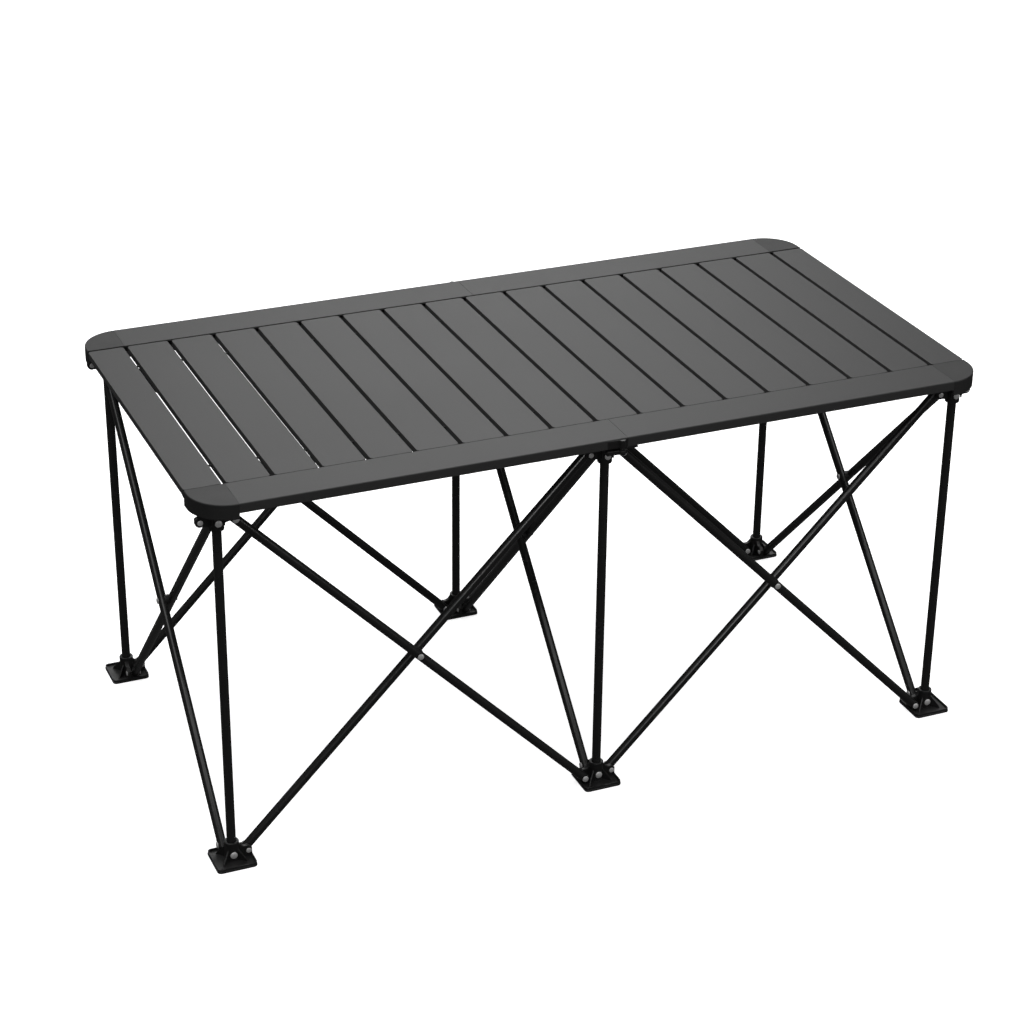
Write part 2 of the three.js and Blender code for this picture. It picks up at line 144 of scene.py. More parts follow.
# ---- materials ----
class Wire:
    """A node's output on which sums can be written."""

    def __init__(self, paint, socket):
        self.paint = paint
        self.socket = socket

    def sum(self, operation, first, second):
        return self.paint.node("ShaderNodeMath", {"operation": operation}, {0: first, 1: second})

    def __add__(self, other):
        return self.sum("ADD", self, other)

    def __radd__(self, other):
        return self.sum("ADD", other, self)

    def __sub__(self, other):
        return self.sum("SUBTRACT", self, other)

    def __rsub__(self, other):
        return self.sum("SUBTRACT", other, self)

    def __mul__(self, other):
        return self.sum("MULTIPLY", self, other)

    def __rmul__(self, other):
        return self.sum("MULTIPLY", other, self)


class Paint:
    """One material and the nodes that its surface varies by."""

    def __init__(self, name):
        self.material = bpy.data.materials.new(name)
        self.material.use_nodes = True
        self.tree = self.material.node_tree
        self.surface = self.tree.nodes["Principled BSDF"]
        self.place = self.node("ShaderNodeTexCoord", {}, {}, "Object")

    def node(self, kind, settings, inputs, output=0):
        made = self.tree.nodes.new(kind)
        for key, value in settings.items():
            setattr(made, key, value)
        for key, value in inputs.items():
            self.join(made.inputs[key], value)
        return Wire(self, made.outputs[output])

    def join(self, socket, value):
        if isinstance(value, Wire):
            self.tree.links.new(value.socket, socket)
        else:
            socket.default_value = value

    def stretched(self, x, y, z):
        """The place on the piece, with a pattern's size divided by x, y and z along the axes."""
        inputs = {"Vector": self.place, "Scale": (x, y, z)}
        return self.node("ShaderNodeMapping", {"vector_type": "POINT"}, inputs)

    def noise(self, scale, detail=2.0, place=None):
        inputs = {"Vector": place or self.place, "Scale": scale, "Detail": detail}
        return self.node("ShaderNodeTexNoise", {}, inputs, "Fac")

    def cells(self, scale, place=None):
        inputs = {"Vector": place or self.place, "Scale": scale}
        return self.node("ShaderNodeTexVoronoi", {}, inputs, "Distance")

    def steps(self, wire, low, high):
        """0 below low, 1 above high, and a straight slope between."""
        inputs = {"Value": wire, "From Min": low, "From Max": high}
        return self.node("ShaderNodeMapRange", {"clamp": True}, inputs)

    def blend(self, mask, dark, light):
        inputs = {0: mask, 6: (*dark, 1), 7: (*light, 1)}
        return self.node("ShaderNodeMix", {"data_type": "RGBA"}, inputs, 2)

    def bump(self, height, depth, strength=1.0):
        inputs = {"Height": height, "Distance": depth, "Strength": strength}
        return self.node("ShaderNodeBump", {}, inputs)

    def rounded_edge_mask(self):
        """1 on the rounded edges of a piece and 0 on its faces."""
        return self.node("ShaderNodeAttribute", {"attribute_name": "edge"}, {}, "Fac")

    def set(self, **values):
        for name, value in values.items():
            socket = self.surface.inputs[name.replace("_", " ")]
            self.join(socket, value)
        return self.material


def grey(level, warmth=0.0):
    return (level * (1 + warmth), level, level * (1 - warmth))


def powder_coated_aluminium(name, tone, grain):
    """Dark grey powder coat: a fine orange peel over faint drawing lines."""
    paint = Paint(name)
    lines = paint.noise(900, 1.0, paint.stretched(*grain))
    clouds = paint.noise(5, 2.0)
    peel = paint.noise(1500, 2.0)
    edge = paint.rounded_edge_mask()
    shade = 0.5 * paint.steps(clouds, 0.3, 0.7) + 0.35 * lines + 0.15 * peel
    colour = paint.blend(shade, grey(tone * 0.92), grey(tone * 1.08))
    rough = 0.47 + 0.06 * clouds + 0.05 * peel - 0.08 * edge
    relief = paint.bump(0.75 * peel + 0.25 * lines, 0.00006, 0.35)
    return paint.set(Base_Color=colour, Roughness=rough, Normal=relief, Specular_IOR_Level=0.25)


def gloss_black_enamel():
    """Black enamel on steel tube, with a slow ripple and a few dull specks."""
    paint = Paint("gloss_black_enamel")
    ripple = paint.noise(260, 2.0)
    specks = paint.steps(paint.cells(900), 0.02, 0.12)
    clouds = paint.noise(18, 3.0)
    colour = paint.blend(clouds, grey(0.014), grey(0.024, 0.01))
    rough = 0.24 + 0.06 * clouds + 0.08 * (1 - specks)
    relief = paint.bump(ripple, 0.00004, 0.3)
    return paint.set(Base_Color=colour, Roughness=rough, Normal=relief, Coat_Weight=0.3)


def moulded_black(name, low, high, rough_base):
    """Glass-filled nylon out of a sparked mould: an even fine grain, and a painted highlight that
    makes the rounded edges paler.
    """
    paint = Paint(name)
    grain = paint.noise(2200, 2.0)
    pores = paint.cells(1400)
    flow = paint.noise(30, 4.0)
    edge = paint.rounded_edge_mask()
    # the rounded edges are painted paler here: a painted highlight along the rims
    colour = paint.blend(0.6 * flow + 0.25 * grain + 0.3 * edge, grey(low), grey(high))
    rough = rough_base + 0.12 * flow + 0.06 * grain - 0.08 * edge
    relief = paint.bump(0.6 * grain + 0.4 * pores, 0.00009, 0.45)
    return paint.set(Base_Color=colour, Roughness=rough, Normal=relief)


def zinc_plated_steel():
    """Bright zinc: turned rings under a slightly uneven plating."""
    paint = Paint("zinc_plated_steel")
    plating = paint.noise(350, 3.0)
    scuffs = paint.noise(2600, 1.0, paint.stretched(1, 1, 6))
    colour = paint.blend(plating, grey(0.68), grey(0.92, 0.01))
    rough = 0.24 + 0.16 * plating + 0.06 * scuffs
    relief = paint.bump(scuffs, 0.00003, 0.3)
    return paint.set(Base_Color=colour, Roughness=rough, Normal=relief, Metallic=0.3)


def woven_elastic():
    """Black braided elastic cord."""
    paint = Paint("woven_elastic")
    braid = paint.node("ShaderNodeTexWave", {"bands_direction": "DIAGONAL"}, {
        "Vector": paint.place, "Scale": 420, "Distortion": 2.0})
    fuzz = paint.noise(2500, 3.0)
    colour = paint.blend(0.7 * braid + 0.3 * fuzz, grey(0.008), grey(0.035))
    relief = paint.bump(braid, 0.00025, 0.7)
    return paint.set(Base_Color=colour, Roughness=0.7 + 0.2 * fuzz, Normal=relief)


def pale_floor():
    paint = Paint("pale_floor")
    mottle = paint.noise(0.6, 3.0)
    colour = paint.blend(mottle, grey(0.93), grey(0.95))
    return paint.set(
        Base_Color=colour, Roughness=0.95, Specular_IOR_Level=0.1,
        Emission_Color=(1, 1, 1, 1), Emission_Strength=0.8,
    )


# ---- mesh work ----
def round_off(bm, width, segments=3, angle=30, chosen=None):
    """Rounds the sharp edges, or the chosen ones, and marks the new faces as edge."""
    layer = bm.faces.layers.float.get("edge") or bm.faces.layers.float.new("edge")
    if chosen is None:
        sharp = math.radians(angle)
        chosen = [e for e in bm.edges if e.is_manifold and e.calc_face_angle(0) > sharp]
    made = bmesh.ops.bevel(
        bm, geom=chosen, offset=width, offset_type="OFFSET", segments=segments,
        profile=0.5, affect="EDGES", clamp_overlap=True, material=-1,
    )
    for face in made["faces"]:
        face[layer] = 1.0


def add_block(bm, low, high):
    """A box between two corners, as new vertices of bm."""
    low, high = Vector(low), Vector(high)
    size = high - low
    place = Matrix.Translation((low + high) / 2) @ Matrix.Diagonal((*size, 1))
    return bmesh.ops.create_cube(bm, size=1, matrix=place)["verts"]


def add_prism(bm, points, way):
    """A flat outline run along way."""
    way = Vector(way)
    corners = [bm.verts.new(p) for p in points]
    face = bm.faces.new(corners)
    grown = bmesh.ops.extrude_face_region(bm, geom=[face])["geom"]
    moved = [v for v in grown if isinstance(v, bmesh.types.BMVert)]
    bmesh.ops.translate(bm, vec=way, verts=moved)
    return corners + moved


def arc(centre, radius, start, end, steps):
    """Points on a circle, from start to end in degrees."""
    turns = [math.radians(start + (end - start) * i / steps) for i in range(steps + 1)]
    return [(centre[0] + radius * math.cos(t), centre[1] + radius * math.sin(t)) for t in turns]


def rounded_plan(x0, x1, y0, y1, radius, steps=5):
    """A rectangle with round corners, as points."""
    return (
        arc((x1 - radius, y0 + radius), radius, -90, 0, steps)
        + arc((x1 - radius, y1 - radius), radius, 0, 90, steps)
        + arc((x0 + radius, y1 - radius), radius, 90, 180, steps)
        + arc((x0 + radius, y0 + radius), radius, 180, 270, steps)
    )


def add_turned(bm, profile, foot, way, sides=TUBE_SIDES, closed=False):
    """A profile of (radius, height) points turned about the line from foot along way."""
    way = Vector(way).normalized()
    side = way.orthogonal().normalized()
    foot = Vector(foot)
    line = [bm.verts.new(foot + side * r + way * h) for r, h in profile]
    edges = [bm.edges.new(pair) for pair in zip(line, line[1:])]
    if closed:
        edges.append(bm.edges.new((line[-1], line[0])))
    before = set(bm.verts) - set(line)
    bmesh.ops.spin(
        bm, geom=line + edges, cent=foot, axis=way, angle=math.tau, steps=sides,
        use_merge=True, use_duplicate=False,
    )
    made = [v for v in bm.verts if v not in before]
    bmesh.ops.remove_doubles(bm, verts=made, dist=1e-7)


def add_tube(bm, radius, bore, start, end, lip=0.4 * MM, sides=TUBE_SIDES):
    start, end = Vector(start), Vector(end)
    way = end - start
    long = way.length
    profile = [
        (bore, 0), (radius - lip, 0), (radius - lip * 0.3, lip * 0.3), (radius, lip),
        (radius, long - lip), (radius - lip * 0.3, long - lip * 0.3),
        (radius - lip, long), (bore, long),
    ]
    add_turned(bm, profile, start, way, sides, closed=True)


def add_dome(bm, radius, thick, foot, way, sides=32):
    """A button head that stands on foot."""
    rise = [(radius * math.cos(math.radians(a)), thick * (0.3 + 0.7 * math.sin(math.radians(a))))
            for a in range(0, 90, 15)]
    profile = [(0, 0), (radius * 0.94, 0), (radius, thick * 0.12)] + rise + [(0, thick)]
    add_turned(bm, profile, foot, way, sides)


def add_pin(bm, radius, start, end, sides=24):
    start, end = Vector(start), Vector(end)
    long = (end - start).length
    chamfer = min(0.3 * MM, radius / 4)
    profile = [(0, 0), (radius - chamfer, 0), (radius, chamfer),
               (radius, long - chamfer), (radius - chamfer, long), (0, long)]
    add_turned(bm, profile, start, end - start, sides)


def face_outwards(bm):
    bmesh.ops.recalc_face_normals(bm, faces=bm.faces[:])


def smooth_object(name, bm, finish):
    """Closes off a mesh as an object with one material."""
    face_outwards(bm)
    mesh = bpy.data.meshes.new(name)
    bm.to_mesh(mesh)
    bm.free()
    mesh.materials.append(finish)
    mesh.shade_smooth()
    made = bpy.data.objects.new(name, mesh)
    bpy.context.scene.collection.objects.link(made)
    return made


def piece(name, bm, finish, body, stands_for=(), smooth=35):
    """Closes off a mesh as one piece that rides on a body."""
    made = smooth_object(name, bm, finish)
    made.data.set_sharp_from_angle(angle=math.radians(smooth))
    even = made.modifiers.new("even_shading", "WEIGHTED_NORMAL")
    even.keep_sharp = True
    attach(made, body)
    if stands_for:
        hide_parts(*stands_for)
    return made


def merge(bm, other):
    """Adds another mesh to bm, with its edge marks."""
    holder = bpy.data.meshes.new("holder")
    other.to_mesh(holder)
    other.free()
    bm.from_mesh(holder)
    bpy.data.meshes.remove(holder)


def add_plate(bm, outline, way, rim, segments, placed):
    """A flat outline run along way, its square edges rounded, and then put in its place."""
    plate = bmesh.new()
    add_prism(plate, outline, way)
    face_outwards(plate)
    round_off(plate, rim, segments, angle=SQUARE)
    bmesh.ops.transform(plate, matrix=placed, verts=plate.verts[:])
    merge(bm, plate)


# ---- roll-up top ----
SLAT_CORNER = 4.5 * MM
SLAT_WALL = 1.1 * MM
SLAT_EASE = 0.5 * MM  # the slat stops this far short of its node's ends, beside the rails
SLAT_TOP_RIM = 0.8 * MM
SLAT_BOTTOM_RIM = 0.3 * MM
PLUG_SHY = 0.28 * MM  # the slat's end faces lie this far inside its walls
PLUG_PROUD = 0.35 * MM
PLUG_ROOT = 0.2 * MM
PLUG_MARGIN = 2.2 * MM  # from the slat's top and bottom
PLUG_RIM = 0.15 * MM
CORD_Y = 0.18
CORD_RADIUS = 1.6 * MM
CORD_STEPS = 6
CORD_SIDES = 16
CORD_HOLD = 0.3 * MM  # how far the elastic reaches into each slat


def slat_name(k):
    return f"slat_{k:02d}"


def slat_body(k):
    return "table_top" if k == 1 else slat_name(k)


def make_slat(k, metal, plastic):
    """A flat slat with rounded corners, and a plug in each end."""
    name = slat_name(k)
    low, high = (Vector(corner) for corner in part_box(name))
    low.y += SLAT_EASE
    high.y -= SLAT_EASE
    bm = bmesh.new()
    add_block(bm, low, high)
    upright = [e for e in bm.edges if abs((e.verts[0].co - e.verts[1].co).z) > 1 * MM]
    round_off(bm, SLAT_CORNER, 5, chosen=upright)
    for level, width in ((high.z, SLAT_TOP_RIM), (low.z, SLAT_BOTTOM_RIM)):
        rim = [
            e for e in bm.edges
            if e.calc_face_angle(0) > math.radians(SQUARE)
            and all(abs(v.co.z - level) < SAME for v in e.verts)
        ]
        round_off(bm, width, 3, chosen=rim)
    for side in (-1, 1):
        ends = [f for f in bm.faces if f.normal.y * side > 0.99]
        bmesh.ops.inset_region(bm, faces=ends, thickness=SLAT_WALL, use_even_offset=True)
        corners = list({v for f in ends for v in f.verts})
        bmesh.ops.translate(bm, vec=(0, -side * PLUG_SHY, 0), verts=corners)
    piece(name, bm, metal, slat_body(k), [name])
    plugs = bmesh.new()
    inset = SLAT_CORNER + SLAT_WALL
    for side, end in ((-1, low.y), (1, high.y)):
        ys = sorted((end + side * PLUG_PROUD, end - side * PLUG_ROOT))
        add_block(plugs, (low.x + inset, ys[0], low.z + PLUG_MARGIN),
                  (high.x - inset, ys[1], high.z - PLUG_MARGIN))
    round_off(plugs, PLUG_RIM, 2)
    piece(f"{name}_plugs", plugs, plastic, slat_body(k))


def make_gap_cords(k, elastic):
    """The stretch of elastic that shows between slat k and the next one."""
    left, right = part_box(slat_name(k))[1].x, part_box(slat_name(k + 1))[0].x
    low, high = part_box(slat_name(k))
    z = (low.z + high.z) / 2
    span = right - left + 2 * CORD_HOLD
    profile = [(0, 0)]
    profile += [(CORD_RADIUS, span * i / CORD_STEPS) for i in range(CORD_STEPS + 1)]
    profile += [(0, span)]
    bm = bmesh.new()
    for y in (-CORD_Y, CORD_Y):
        add_turned(bm, profile, (left - CORD_HOLD, y, z), (1, 0, 0), CORD_SIDES)
    cord = smooth_object(f"gap_{k:02d}_elastic", bm, elastic)
    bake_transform(cord)


def make_top(metal, plastic, elastic):
    for k in range(1, SLAT_COUNT + 1):
        make_slat(k, metal, plastic)
    for k in range(1, SLAT_COUNT):
        make_gap_cords(k, elastic)


# ---- side rails ----
RAIL_TOP_RIM = 1.6 * MM
RAIL_RIM = 0.5 * MM
LONG_EDGE = 0.1


def rail_section():
    """The rail across: a channel open to the slats, with a floor that reaches under them."""
    return [
        (RAIL_OUT, RAIL_BASE_Z),
        (RAIL_OUT, TABLE_TOP_Z),
        (RAIL_IN, TABLE_TOP_Z),
        (RAIL_IN, TABLE_TOP_Z - RAIL_WALL),
        (RAIL_OUT - RAIL_WALL, TABLE_TOP_Z - RAIL_WALL),
        (RAIL_OUT - RAIL_WALL, RAIL_BASE_Z + FLOOR_THICK),
        (RAIL_IN - LEDGE_WIDTH, RAIL_BASE_Z + FLOOR_THICK),
        (RAIL_IN - LEDGE_WIDTH, RAIL_BASE_Z),
    ]


def make_rail(row, half, x0, x1, metal):
    out = OUT[row]
    bm = bmesh.new()
    add_prism(bm, [(x0, y * out, z) for y, z in rail_section()], (x1 - x0, 0, 0))
    face_outwards(bm)
    outer_top = [
        e for e in bm.edges
        if all(abs(abs(v.co.y) - RAIL_OUT) < SAME and abs(v.co.z - TABLE_TOP_Z) < SAME
               for v in e.verts)
    ]
    round_off(bm, RAIL_TOP_RIM, 4, chosen=outer_top)
    long_edges = [
        e for e in bm.edges
        if e.calc_face_angle(0) > math.radians(SQUARE)
        and abs((e.verts[0].co - e.verts[1].co).x) > LONG_EDGE
    ]
    round_off(bm, RAIL_RIM, 2, chosen=long_edges)
    node = f"{row}_rail_{half}"
    body = "table_top" if half == "left" else f"{row}_rail_end"
    piece(node, bm, metal, body, [node])


HINGE_BLOCK_X0 = -13 * MM
HINGE_BLOCK_DEPTH = 12 * MM
HINGE_BLOCK_RIM = 0.7 * MM
HINGE_KNUCKLE_RADIUS = 4.5 * MM
HINGE_BLOCK_Z0 = TABLE_TOP_Z - 24 * MM
HINGE_WEB_FACE = 9.4 * MM  # from the rail's outer face to the end of the ear's slot
HINGE_PIN_RADIUS = 2 * MM
HINGE_PIN_DROP = 4.5 * MM  # from the rail's top to the pin's
EAR_THICK = 3 * MM
EAR_TOP_Z = RAIL_BASE_Z - CLEARANCE
EAR_END = 16 * MM  # past the seam
EAR_EYE = 4.1 * MM
EAR_DEPTH = 8.4 * MM
EAR_RIM = 0.4 * MM
EAR_WALL_START = 2 * MM  # past the seam: the wall that joins the ear to its rail


def make_rail_hinge(row, plastic, zinc):
    """The block under a rail's seam, the other half's ear in its slot, and their pin."""
    out = OUT[row]
    pin_x, pin_y = RAIL_HINGE.x, abs(RAIL_HINGE.y)
    x1 = RAIL_SEAM_X - SEAM_GAP / 2
    slot_low, slot_high = EAR_TOP_Z - EAR_THICK - CLEARANCE, RAIL_BASE_Z
    face = RAIL_OUT + CLEARANCE
    inner = RAIL_OUT - HINGE_BLOCK_DEPTH
    knuckle = arc((pin_x, pin_y), HINGE_KNUCKLE_RADIUS, 0, 180, 10)
    plan = [(HINGE_BLOCK_X0, inner), (x1, inner), (x1, face)] + knuckle + [(HINGE_BLOCK_X0, face)]
    bm = bmesh.new()
    for z0, z1 in ((HINGE_BLOCK_Z0, slot_low), (slot_high, TABLE_TOP_Z - RAIL_TOP_RIM)):
        add_prism(bm, [(x, y * out, z0) for x, y in plan], (0, 0, z1 - z0))
    web = add_block(bm, (HINGE_BLOCK_X0, -1, slot_low - 1 * MM), (x1, 1, slot_high + 1 * MM))
    for v in web:
        v.co.y = out * (RAIL_OUT - (HINGE_BLOCK_DEPTH if v.co.y * out < 0 else HINGE_WEB_FACE))
    face_outwards(bm)
    round_off(bm, HINGE_BLOCK_RIM, 3, angle=50)
    piece(f"{row}_hinge_block", bm, plastic, "table_top")

    ear = bmesh.new()
    end = RAIL_SEAM_X + EAR_END
    near, far = RAIL_OUT - EAR_DEPTH, RAIL_OUT
    plan = arc((pin_x, pin_y), EAR_EYE, 20, 180, 12)
    plan += [(pin_x - EAR_EYE + 1 * MM, near), (end, near), (end, far), (pin_x + EAR_EYE, far)]
    add_prism(ear, [(x, y * out, EAR_TOP_Z - EAR_THICK) for x, y in plan], (0, 0, EAR_THICK))
    walls = sorted((out * RAIL_OUT, out * (RAIL_OUT - RAIL_WALL)))
    add_block(ear, (RAIL_SEAM_X + EAR_WALL_START, walls[0], EAR_TOP_Z - 1 * MM),
              (end - 1 * MM, walls[1], RAIL_BASE_Z + 0.5 * MM))
    face_outwards(ear)
    round_off(ear, EAR_RIM, 2, angle=50)
    piece(f"{row}_hinge_ear", ear, plastic, f"{row}_rail_end")

    pin = bmesh.new()
    add_pin(pin, HINGE_PIN_RADIUS, (pin_x, pin_y * out, HINGE_BLOCK_Z0 - 0.6 * MM),
            (pin_x, pin_y * out, TABLE_TOP_Z - HINGE_PIN_DROP))
    add_dome(pin, 3.4 * MM, 1.4 * MM, (pin_x, pin_y * out, HINGE_BLOCK_Z0), (0, 0, -1))
    node = f"{row}_rail_pin"
    piece(node, pin, zinc, "table_top", [node])


# ---- corner caps ----
CAP_RIM = 1.8 * MM
CAP_WALL = RAIL_WALL - 0.4 * MM
CAP_FLOOR_INSET = 1.2 * MM
TONGUE_LENGTH = 20 * MM  # inside the rail
TONGUE_ROOT = 5 * MM  # inside the cap
TONGUE_SIDE = 4 * MM  # from the open side of the rail


def corner_plan(inset, inner):
    """A cap's outline at the back right, from its seam with the rail round its corner."""
    x1, y1 = TABLE_END_X - inset, RAIL_OUT - inset
    radius = CORNER_RADIUS - inset
    bend = arc((x1 - radius, y1 - radius), radius, 0, 90, 14)
    seam = CORNER_SEAM_X + SEAM_GAP / 2
    return [(seam, inner), (x1, inner)] + bend + [(seam, y1)]


def make_corner(row, side, plastic):
    """A quarter-round cap: a shell with a deep skirt, a floor and a tongue for the rail."""
    sx = 1 if side == "right" else -1
    out = OUT[row]
    bm = bmesh.new()
    inner = RAIL_IN + SEAM_GAP / 2
    plan = [(x, y, SKIRT_Z) for x, y in corner_plan(0, inner)]
    add_prism(bm, plan, (0, 0, TABLE_TOP_Z - SKIRT_Z))
    face_outwards(bm)
    outer = {f for f in bm.faces if f.normal.z < 0.5 and max(f.normal.x, f.normal.y) > 0.01}
    top_rim = [
        e for e in bm.edges
        if all(abs(v.co.z - TABLE_TOP_Z) < SAME for v in e.verts)
        and any(f in outer for f in e.link_faces)
    ]
    round_off(bm, CAP_RIM, 4, chosen=top_rim)
    open_sides = [
        f for f in bm.faces
        if f.normal.z < -0.9 or f.normal.x < -0.9 or f.normal.y < -0.9
    ]
    bmesh.ops.delete(bm, geom=open_sides, context="FACES")
    bmesh.ops.solidify(bm, geom=bm.faces[:], thickness=CAP_WALL)
    floor = corner_plan(CAP_FLOOR_INSET, inner - LEDGE_WIDTH)
    add_prism(bm, [(x, y, RAIL_BASE_Z) for x, y in floor], (0, 0, FLOOR_THICK))
    x0 = CORNER_SEAM_X + SEAM_GAP / 2
    add_block(
        bm,
        (x0 - TONGUE_LENGTH, RAIL_IN + TONGUE_SIDE, RAIL_BASE_Z + FLOOR_THICK + CLEARANCE),
        (x0 + TONGUE_ROOT, RAIL_OUT - RAIL_WALL - 1 * MM, TABLE_TOP_Z - RAIL_WALL - CLEARANCE),
    )
    bmesh.ops.scale(bm, vec=(sx, out, 1), verts=bm.verts[:])
    node = f"{row}_{side}_corner"
    body = "table_top" if side == "left" else f"{row}_rail_end"
    piece(node, bm, plastic, body, [node], smooth=40)


# ---- hubs and feet ----
def arm_angles(row, column):
    """The ways that braces leave a leg, in degrees from +X."""
    angles = [90 if row == "front" else 270]
    if column != "right":
        angles.append(0)
    if column != "left":
        angles.append(180)
    return angles


LUG_RIM = 0.8 * MM
LUG_FACE_Y = BRACE_OFFSET - TUBE_RADIUS - CLEARANCE
LUG_ROOT_X = 7 * MM
LUG_END_RADIUS = 7 * MM


def leg_place(row, column):
    return Vector((COLUMN_X[column], ROW_Y[row], 0))


def arm_place(angle, place):
    """The move that turns what is drawn along +X to an arm's direction, at a leg."""
    return Matrix.Translation(place) @ Matrix.Rotation(math.radians(angle), 4, "Z")


def add_lug(bm, side, profile, angle, place):
    """A plate beside the brace's plane, with rounded rims, from (x, z) points."""
    outline = [(x, side * LUG_FACE_Y, z) for x, z in profile]
    way = (0, -side * LUG_THICK, 0)
    add_plate(bm, outline, way, LUG_RIM, 3, arm_place(angle, place))


HUB_TOP_Z = RAIL_BASE_Z - CLEARANCE
HUB_PLATE_THICK = 5 * MM
HUB_PLATE_Z = HUB_TOP_Z - HUB_PLATE_THICK
HUB_BASE_Z = 518 * MM
HUB_ARM_REACH = 30 * MM
HUB_SHORT_REACH = 15 * MM  # on a side without a brace
HUB_CORNER_RADIUS = 8 * MM
PLATE_RIM = 0.9 * MM
HUB_COLLAR = 2.5 * MM  # how far the boss widens under the plate
GUSSET_Y = 7.5 * MM
GUSSET_THICK = 2 * MM
WEB_RIM = 0.4 * MM


def hub_profile():
    """A lug of the hub, hanging from the plate: a round end about the rivet."""
    low = arc((ARM_REACH, HUB_PIN_Z), LUG_END_RADIUS, 250, 360, 7)
    return [(LUG_ROOT_X, HUB_PIN_Z - 9 * MM)] + low + [
        (ARM_REACH + LUG_END_RADIUS, HUB_PLATE_Z + 1 * MM), (LUG_ROOT_X, HUB_PLATE_Z + 1 * MM)]


def spare_profile():
    """The same lug on a corner hub's outer side, cut low to pass under the corner cap."""
    low = arc((ARM_REACH, HUB_PIN_Z), LUG_END_RADIUS, 250, 360, 7)
    return [(LUG_ROOT_X, HUB_PIN_Z - 9 * MM)] + low + [
        (ARM_REACH + LUG_END_RADIUS, HUB_PIN_Z + 6 * MM), (24 * MM, HUB_PIN_Z + 9 * MM),
        (LUG_ROOT_X, HUB_PIN_Z + 9 * MM)]


def hub_boss():
    """The boss's wall round the leg's top, as (radius, z) points."""
    wide = BOSS_RADIUS + HUB_COLLAR
    return [
        (SOCKET_RADIUS, HUB_BASE_Z), (BOSS_RADIUS - 0.8 * MM, HUB_BASE_Z),
        (BOSS_RADIUS - 0.2 * MM, HUB_BASE_Z + 0.3 * MM), (BOSS_RADIUS, HUB_BASE_Z + 1 * MM),
        (BOSS_RADIUS, HUB_PLATE_Z - 2 * MM), (wide, HUB_PLATE_Z + 0.5 * MM),
        (wide, HUB_PLATE_Z + 2 * MM), (SOCKET_RADIUS, HUB_PLATE_Z + 2 * MM),
    ]


def add_boss(bm, wall, place):
    boss = bmesh.new()
    add_turned(boss, wall, place, (0, 0, 1), TUBE_SIDES, closed=True)
    merge(bm, boss)


def add_gussets(bm, angle, place):
    """The two ribs beside the boss on a hub's side that has no brace."""
    gusset = [
        (8 * MM, HUB_BASE_Z + 8 * MM), (10 * MM, HUB_BASE_Z + 8 * MM),
        (13.5 * MM, HUB_PLATE_Z + 0.5 * MM), (8 * MM, HUB_PLATE_Z + 0.5 * MM),
    ]
    for side in (-1, 1):
        outline = [(x, side * GUSSET_Y, z) for x, z in gusset]
        way = (0, side * GUSSET_THICK, 0)
        add_plate(bm, outline, way, WEB_RIM, 2, arm_place(angle, place))


def make_hub(row, column, plastic, zinc):
    place = leg_place(row, column)
    angles = arm_angles(row, column)
    spare = [a for a in (0, 180) if a not in angles]
    bm = bmesh.new()
    reach = {a: HUB_ARM_REACH if a in angles else HUB_SHORT_REACH for a in (0, 90, 180, 270)}
    plan = rounded_plan(-reach[180], reach[0], -reach[270], reach[90], HUB_CORNER_RADIUS)
    outline = [(x, y, HUB_PLATE_Z) for x, y in plan]
    way = (0, 0, HUB_PLATE_THICK)
    add_plate(bm, outline, way, PLATE_RIM, 3, Matrix.Translation(place))
    add_boss(bm, hub_boss(), place)
    for angle in angles:
        add_lug(bm, -1, hub_profile(), angle, place)
    for angle in spare:
        add_lug(bm, -1, spare_profile(), angle, place)
    for angle in (90, 270):
        if angle not in angles:
            add_gussets(bm, angle, place)
    node = f"{row}_{column}_hub"
    piece(node, bm, plastic, node, [node])

    rivets = bmesh.new()
    for angle in angles:
        add_rivet(rivets, -1, HUB_PIN_Z, angle, place)
    for angle in spare:
        add_rivet(rivets, -1, HUB_PIN_Z, angle, place, spans=-SINK)
    piece(f"{node}_rivets", rivets, zinc, node)


def add_rivet(bm, side, pin_z, angle, place, spans=2 * TUBE_RADIUS):
    """The rivet of a lug and what it spans: a button head, a shank and a rolled end."""
    head = (ARM_REACH, side * (BRACE_OFFSET - TUBE_RADIUS + spans - SINK), pin_z)
    tail = (ARM_REACH, side * LUG_FACE_Y - side * LUG_THICK, pin_z)
    rivet = bmesh.new()
    add_pin(rivet, RIVET_RADIUS, tail, head)
    add_dome(rivet, RIVET_HEAD_RADIUS, RIVET_HEAD_THICK, head, (0, side, 0))
    add_dome(rivet, RIVET_TAIL_RADIUS, RIVET_TAIL_THICK, tail, (0, -side, 0))
    bmesh.ops.transform(rivet, matrix=arm_place(angle, place), verts=rivet.verts[:])
    merge(bm, rivet)


FOOT_THICK = 3.5 * MM
FOOT_OUTER = 30 * MM
FOOT_INNER = 28 * MM
FOOT_HALF = 29 * MM
FOOT_CORNER_RADIUS = 6 * MM
FOOT_RIM_SHARE = 0.985  # the raised rim follows the foot's edge, this much smaller
FOOT_RIM_HEIGHT = 4 * MM
FOOT_RIM_WALL = 1.6 * MM
FOOT_BOSS_Z = 32 * MM
FOOT_BOSS_BASE_Z = 3 * MM
FOOT_RIB = [(8.5 * MM, 3 * MM), (26 * MM, 3 * MM), (24 * MM, 6.5 * MM), (9 * MM, 22 * MM)]
FOOT_RIB_THICK = 2 * MM
FOOT_SCREW_RADIUS = 5.2 * MM
FOOT_SCREW_THICK = 2.4 * MM
LEG_FOOT_Z = 6.5 * MM


def foot_profile():
    """A wall of the foot beside a brace's end, scooped between the leg and the toe."""
    scoop = arc((19 * MM, 30 * MM), 9 * MM, 200, 290, 6)
    toe = 28 * MM
    return [
        (LUG_ROOT_X, 2 * MM), (toe, 2 * MM), (toe, 17 * MM), *scoop[::-1], (LUG_ROOT_X, 27 * MM),
    ]


